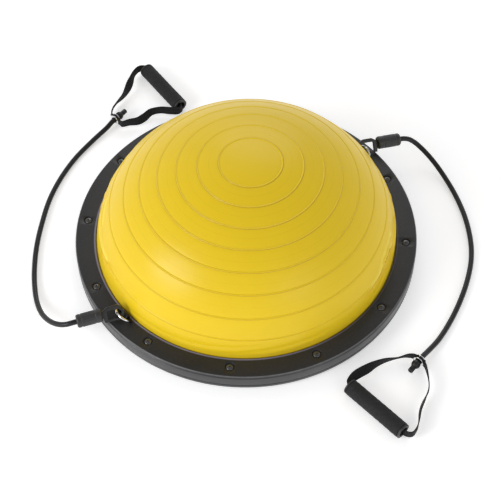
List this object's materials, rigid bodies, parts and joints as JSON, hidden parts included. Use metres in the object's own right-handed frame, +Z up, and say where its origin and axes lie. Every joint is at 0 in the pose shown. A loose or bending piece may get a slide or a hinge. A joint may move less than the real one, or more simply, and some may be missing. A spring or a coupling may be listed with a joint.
{
  "type": "balance dome trainer",
  "caption": "Air-filled half-dome clamped to a flat round platform, with elastic tube bands and foam-grip handles clipped to its rim, for balance and strength exercise",
  "frame": {"origin": "on the floor under the middle of the round platform", "axes": "+Z up through the top of the dome; -Y the side seen from the front; +X to the right of that view. The platform's axis is Z."},
  "size_m": [0.7558, 0.7995, 0.221],
  "materials": {
    "platform_plastic": "fine moulded texture, satin",
    "ring_plastic": "fine grain, semi-matte",
    "pad_rubber": "matte",
    "black_steel": "black oxide, satin",
    "dome_rubber": "smooth, satin sheen",
    "valve_rubber": "matte",
    "chrome_wire": "polished",
    "hook_plastic": "satin moulded",
    "barrel_plastic": "semi-matte",
    "band_rubber": "smooth, satin",
    "webbing": "woven, matte",
    "grip_plastic": "satin",
    "grip_foam": "closed-cell foam, matte"
  },
  "bodies": {
    "base": {"base_platform": "platform_plastic", "floor_pad_centre": "pad_rubber", "floor_pad_1": "pad_rubber", "floor_pad_2": "pad_rubber", "floor_pad_3": "pad_rubber", "floor_pad_4": "pad_rubber", "floor_pad_5": "pad_rubber", "floor_pad_6": "pad_rubber", "clamp_ring": "ring_plastic", "ring_screw_1": "black_steel", "ring_screw_2": "black_steel", "ring_screw_3": "black_steel", "ring_screw_4": "black_steel", "ring_screw_5": "black_steel", "ring_screw_6": "black_steel", "ring_screw_7": "black_steel", "ring_screw_8": "black_steel", "ring_screw_9": "black_steel", "ring_screw_10": "black_steel", "ring_screw_11": "black_steel", "ring_screw_12": "black_steel", "valve_seat": "valve_rubber", "saddle_left": "ring_plastic", "saddle_right": "ring_plastic"},
    "dome": {"dome_skin": "dome_rubber"},
    "air_plug": {"air_plug": "valve_rubber"},
    "ring_left": {"d_ring_left": "chrome_wire"},
    "band_left": {"hook_left": "hook_plastic", "gate_pin_left": "black_steel", "barrel_left": "barrel_plastic", "tube_plug_left": "band_rubber", "tube_left": "band_rubber", "stopper_left": "band_rubber"},
    "gate_left": {"gate_left": "hook_plastic"},
    "handle_left": {"strap_left": "webbing", "strap_washer_left": "chrome_wire"},
    "grip_left": {"grip_core_left": "grip_plastic", "foam_grip_left": "grip_foam", "grip_cap_far_left": "grip_plastic", "grip_cap_near_left": "grip_plastic"},
    "ring_right": {"d_ring_right": "chrome_wire"},
    "band_right": {"hook_right": "hook_plastic", "gate_pin_right": "black_steel", "barrel_right": "barrel_plastic", "tube_plug_right": "band_rubber", "tube_right": "band_rubber", "stopper_right": "band_rubber"},
    "gate_right": {"gate_right": "hook_plastic"},
    "handle_right": {"strap_right": "webbing", "strap_washer_right": "chrome_wire"},
    "grip_right": {"grip_core_right": "grip_plastic", "foam_grip_right": "grip_foam", "grip_cap_far_right": "grip_plastic", "grip_cap_near_right": "grip_plastic"}
  },
  "joints": [
    {"name": "dome_press", "type": "slide", "parent": "base", "child": "dome", "axis": [0, 0, 1], "range_m": [-0.05, 0], "stiffness_N_per_m": 13000, "deforming": ["dome_skin"]},
    {"name": "air_plug_pull", "type": "slide", "parent": "base", "child": "air_plug", "axis": [0, 0, -1], "range_m": [0, 0.014]},
    {"name": "ring_pivot_left", "type": "hinge", "parent": "base", "child": "ring_left", "pos_m": [-0.19817, -0.16985, 0.0386], "axis": [0.6508, -0.7593, 0], "range_deg": [-4, 4]},
    {"name": "band_swing_left", "type": "hinge", "parent": "base", "child": "band_left", "pos_m": [-0.21121, -0.17264, 0.04915], "axis": [0, 0, 1], "range_deg": [-2, 8]},
    {"name": "gate_press_left", "type": "hinge", "parent": "band_left", "child": "gate_left", "pos_m": [-0.22749, -0.1831, 0.04163], "axis": [0.1585, -0.7269, 0.6682], "range_deg": [0, 15], "stiffness_Nm_per_rad": 0.05, "springref_deg": -20.05},
    {"name": "handle_turn_left", "type": "hinge", "parent": "band_left", "child": "handle_left", "pos_m": [-0.237, 0.28, 0.0137], "axis": [0, 0, 1], "range_deg": [-4, 10]},
    {"name": "grip_spin_left", "type": "hinge", "parent": "handle_left", "child": "grip_left", "pos_m": [-0.1505, 0.3572, 0.0137], "axis": [0.5764, -0.8171, 0], "continuous": true},
    {"name": "ring_pivot_right", "type": "hinge", "parent": "base", "child": "ring_right", "pos_m": [0.20511, 0.1614, 0.0386], "axis": [-0.6184, 0.7859, 0], "range_deg": [-4, 4]},
    {"name": "band_swing_right", "type": "hinge", "parent": "base", "child": "band_right", "pos_m": [0.21263, 0.17182, 0.04973], "axis": [0, 0, 1], "range_deg": [-2, 8]},
    {"name": "gate_press_right", "type": "hinge", "parent": "band_right", "child": "gate_right", "pos_m": [0.23178, 0.17079, 0.04178], "axis": [-0.2506, 0.677, -0.692], "range_deg": [0, 15], "stiffness_Nm_per_rad": 0.05, "springref_deg": -20.05},
    {"name": "handle_turn_right", "type": "hinge", "parent": "band_right", "child": "handle_right", "pos_m": [0.276, -0.249, 0.0137], "axis": [0, 0, 1], "range_deg": [-4, 10]},
    {"name": "grip_spin_right", "type": "hinge", "parent": "handle_right", "child": "grip_right", "pos_m": [0.1996, -0.3372, 0.0137], "axis": [0.6845, -0.729, 0], "continuous": true}
  ]
}
